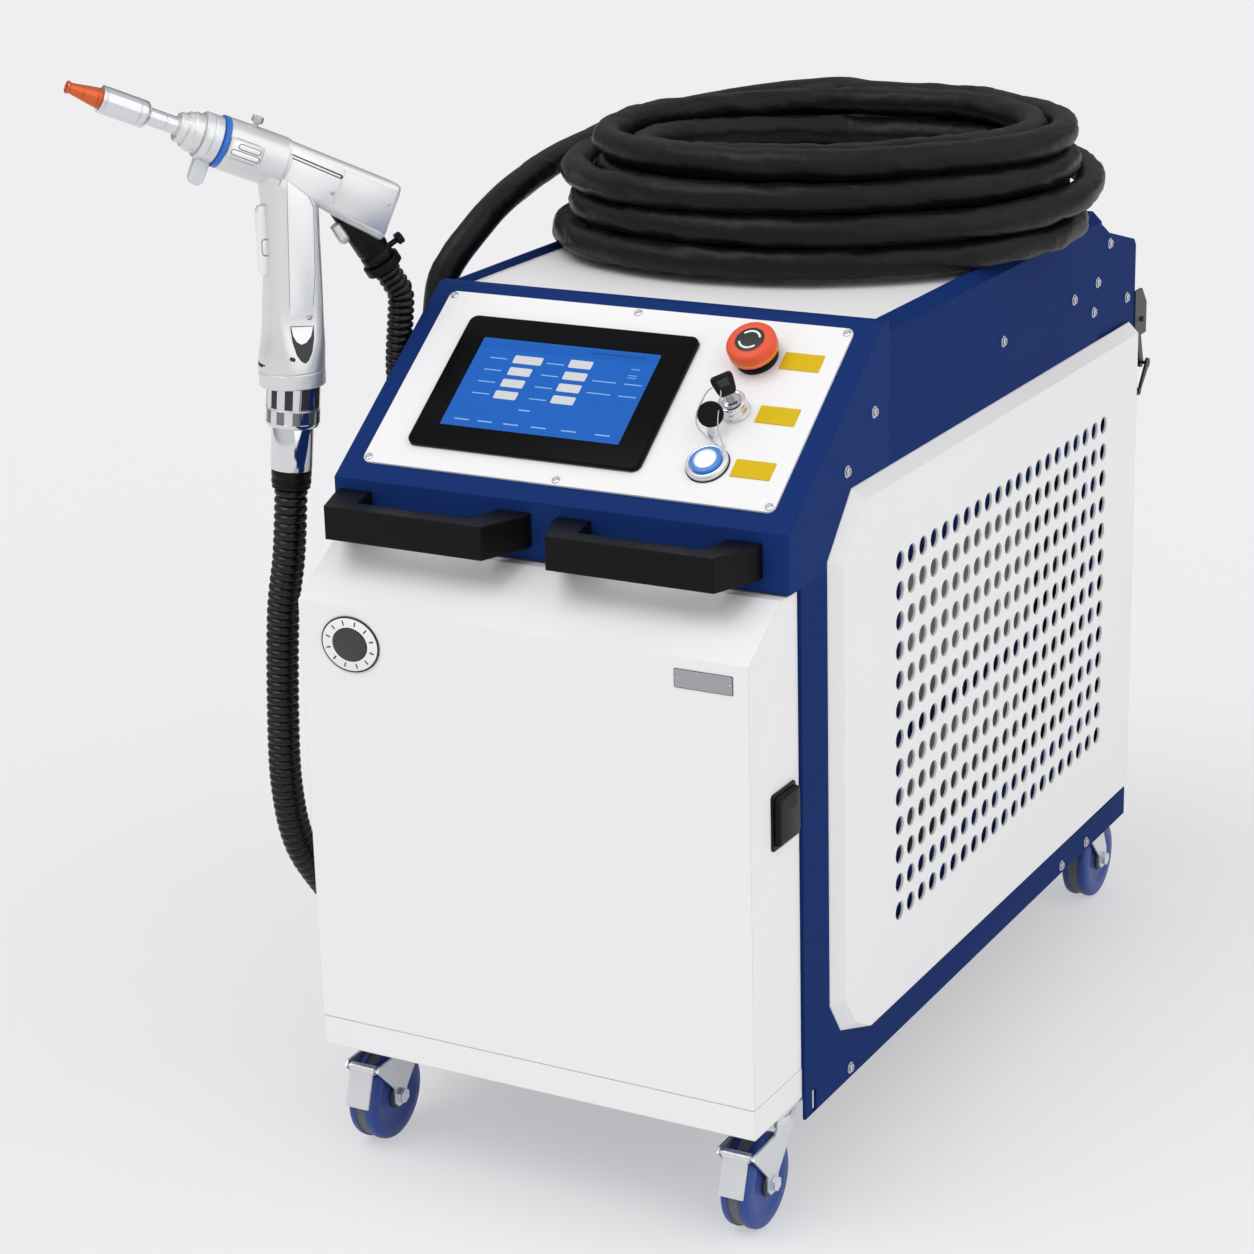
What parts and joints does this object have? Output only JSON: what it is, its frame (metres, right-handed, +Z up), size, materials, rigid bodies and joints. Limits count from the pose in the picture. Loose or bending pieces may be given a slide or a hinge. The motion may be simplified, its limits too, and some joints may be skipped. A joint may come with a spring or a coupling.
{
  "type": "laser cleaning machine",
  "caption": "Wheeled laser cleaning machine: blue and white cabinet with a sloped control head, a coiled sleeve hose on top and a handheld cleaning gun on ribbed hoses.",
  "frame": {"origin": "on the floor under the middle of the machine without its hoses: the middle of the box round the cabinet, the casters and the gun", "axes": "+Z up, -Y out of the door's front, +X towards the cabinet's right side as seen from the front"},
  "size_m": [0.7886, 1.0787, 1.1154],
  "materials": {
    "blue": "satin",
    "white": "satin",
    "grey_paint": "satin",
    "inner_units": "satin",
    "black_metal": "satin",
    "black_plastic": "satin",
    "black_gloss": "gloss",
    "badge": "satin",
    "display": "gloss",
    "yellow": "satin",
    "red": "satin",
    "zinc": "satin",
    "chrome": "polished",
    "tyre": "matte",
    "aluminium": "satin",
    "copper": "satin",
    "seal": "satin",
    "ribbed": "satin",
    "sleeve": "woven"
  },
  "bodies": {
    "cabinet": {"base_frame": "blue", "right_shell": "blue", "left_shell": "blue", "top_hood": "blue", "rear_shell": "blue", "rear_panel": "grey_paint", "top_plate": "white", "control_head": "blue", "control_fascia": "white", "kick_skirt": "white", "right_panel": "white", "left_panel": "white", "front_handles": "black_metal", "cabinet_fasteners": "zinc", "label_plates": "yellow", "screen_bezel": "black_gloss", "screen_display": "display", "control_bezels": "chrome", "draw_latch_plates": "zinc", "caster_plates": "zinc", "gun_body": "aluminium", "gun_handle": "aluminium", "gun_nozzle": "copper", "gun_tubes": "chrome", "gun_collar": "aluminium", "gun_seal": "seal", "handle_fitting": "chrome", "gun_connector": "black_plastic", "gun_holder": "black_metal", "hose_handle": "ribbed", "hose_rear": "ribbed", "hose_junction": "grey_paint", "sleeve_drop": "sleeve", "sleeve_coil": "sleeve", "cable_outlet": "grey_paint", "laser_source": "inner_units", "water_chiller": "inner_units"},
    "door": {"door": "white", "door_badges": "badge"},
    "door_latch": {"door_latch": "black_plastic"},
    "draw_lever": {"draw_latch_lever": "zinc"},
    "draw_bail": {"draw_latch_bail": "zinc"},
    "stop_head": {"stop_head": "red"},
    "start_button": {"start_button": "chrome"},
    "switch_key": {"switch_key": "black_plastic"},
    "spare_key": {"spare_key": "black_plastic"},
    "fork_fl": {"caster_fork_fl": "zinc"},
    "fork_fr": {"caster_fork_fr": "zinc"},
    "fork_rl": {"caster_fork_rl": "zinc"},
    "fork_rr": {"caster_fork_rr": "zinc"},
    "wheel_fl": {"caster_wheel_fl": "tyre"},
    "wheel_fr": {"caster_wheel_fr": "tyre"},
    "wheel_rl": {"caster_wheel_rl": "tyre"},
    "wheel_rr": {"caster_wheel_rr": "tyre"},
    "pedal_fl": {"brake_pedal_fl": "zinc"},
    "pedal_fr": {"brake_pedal_fr": "zinc"},
    "trigger": {"gun_trigger": "aluminium"},
    "drawer": {"lens_drawer": "aluminium"},
    "thumb_screw": {"thumb_screw": "chrome"},
    "fan": {"fan_rotor": "black_plastic"}
  },
  "joints": [
    {"name": "swivel_fl", "type": "hinge", "parent": "cabinet", "child": "fork_fl", "pos_m": [-0.1113, -0.4296, 0.112], "axis": [0, 0, 1], "continuous": true},
    {"name": "wheel_spin_fl", "type": "hinge", "parent": "fork_fl", "child": "wheel_fl", "pos_m": [-0.1113, -0.4596, 0.049], "axis": [1, 0, 0], "continuous": true},
    {"name": "swivel_fr", "type": "hinge", "parent": "cabinet", "child": "fork_fr", "pos_m": [0.3267, -0.4296, 0.112], "axis": [0, 0, 1], "continuous": true},
    {"name": "wheel_spin_fr", "type": "hinge", "parent": "fork_fr", "child": "wheel_fr", "pos_m": [0.3267, -0.4596, 0.049], "axis": [1, 0, 0], "continuous": true},
    {"name": "swivel_rl", "type": "hinge", "parent": "cabinet", "child": "fork_rl", "pos_m": [-0.1113, 0.4314, 0.112], "axis": [0, 0, 1], "continuous": true},
    {"name": "wheel_spin_rl", "type": "hinge", "parent": "fork_rl", "child": "wheel_rl", "pos_m": [-0.1113, 0.4614, 0.049], "axis": [1, 0, 0], "continuous": true},
    {"name": "swivel_rr", "type": "hinge", "parent": "cabinet", "child": "fork_rr", "pos_m": [0.3267, 0.4314, 0.112], "axis": [0, 0, 1], "continuous": true},
    {"name": "wheel_spin_rr", "type": "hinge", "parent": "fork_rr", "child": "wheel_rr", "pos_m": [0.3267, 0.4614, 0.049], "axis": [1, 0, 0], "continuous": true},
    {"name": "brake_fl", "type": "hinge", "parent": "fork_fl", "child": "pedal_fl", "pos_m": [-0.1113, -0.4966, 0.092], "axis": [-1, 0, 0], "range_deg": [0, 25]},
    {"name": "brake_fr", "type": "hinge", "parent": "fork_fr", "child": "pedal_fr", "pos_m": [0.3267, -0.4966, 0.092], "axis": [-1, 0, 0], "range_deg": [0, 25]},
    {"name": "door_hinge", "type": "hinge", "parent": "cabinet", "child": "door", "pos_m": [-0.1518, -0.4146, 0.4], "axis": [0, 0, -1], "range_deg": [0, 90]},
    {"name": "door_latch_pivot", "type": "hinge", "parent": "door", "child": "door_latch", "pos_m": [0.3632, -0.4736, 0.44], "axis": [0, 0, -1], "range_deg": [0, 45], "stiffness_Nm_per_rad": 0.1, "springref_deg": -5.73},
    {"name": "draw_lever_pivot", "type": "hinge", "parent": "cabinet", "child": "draw_lever", "pos_m": [0.3497, 0.5154, 0.719], "axis": [1, 0, 0], "range_deg": [0, 120]},
    {"name": "draw_bail_pivot", "type": "hinge", "parent": "draw_lever", "child": "draw_bail", "pos_m": [0.3497, 0.5334, 0.662], "axis": [1, 0, 0], "range_deg": [0, 60]},
    {"name": "stop_press", "type": "slide", "parent": "cabinet", "child": "stop_head", "axis": [0, 0.5936, -0.8048], "range_m": [0, 0.004]},
    {"name": "start_press", "type": "slide", "parent": "cabinet", "child": "start_button", "axis": [0, 0.5936, -0.8048], "range_m": [0, 0.003], "stiffness_N_per_m": 500, "springref_m": -0.003},
    {"name": "key_turn", "type": "hinge", "parent": "cabinet", "child": "switch_key", "pos_m": [0.2532, -0.33569, 0.80438], "axis": [0, 0.5936, -0.8048], "range_deg": [0, 90]},
    {"name": "spare_key_swing", "type": "hinge", "parent": "switch_key", "child": "spare_key", "pos_m": [0.24977, -0.35676, 0.8286], "axis": [-0.6018, 0.6427, 0.4741], "range_deg": [0, 10]},
    {"name": "trigger_pivot", "type": "hinge", "parent": "cabinet", "child": "trigger", "pos_m": [-0.2456, -0.3819, 0.9685], "axis": [0.7797, -0.6261, 0], "range_deg": [0, 5], "stiffness_Nm_per_rad": 0.2, "springref_deg": -5.73},
    {"name": "drawer_slide", "type": "slide", "parent": "cabinet", "child": "drawer", "axis": [0.7797, -0.6261, 0], "range_m": [0, 0.032]},
    {"name": "thumb_turn", "type": "hinge", "parent": "cabinet", "child": "thumb_screw", "pos_m": [-0.2512, -0.3888, 1.0553], "axis": [0.2556, 0.3184, 0.9128], "continuous": true},
    {"name": "fan_spin", "type": "hinge", "parent": "cabinet", "child": "fan", "pos_m": [0.1077, 0.4701, 0.29], "axis": [0, 1, 0], "continuous": true}
  ]
}
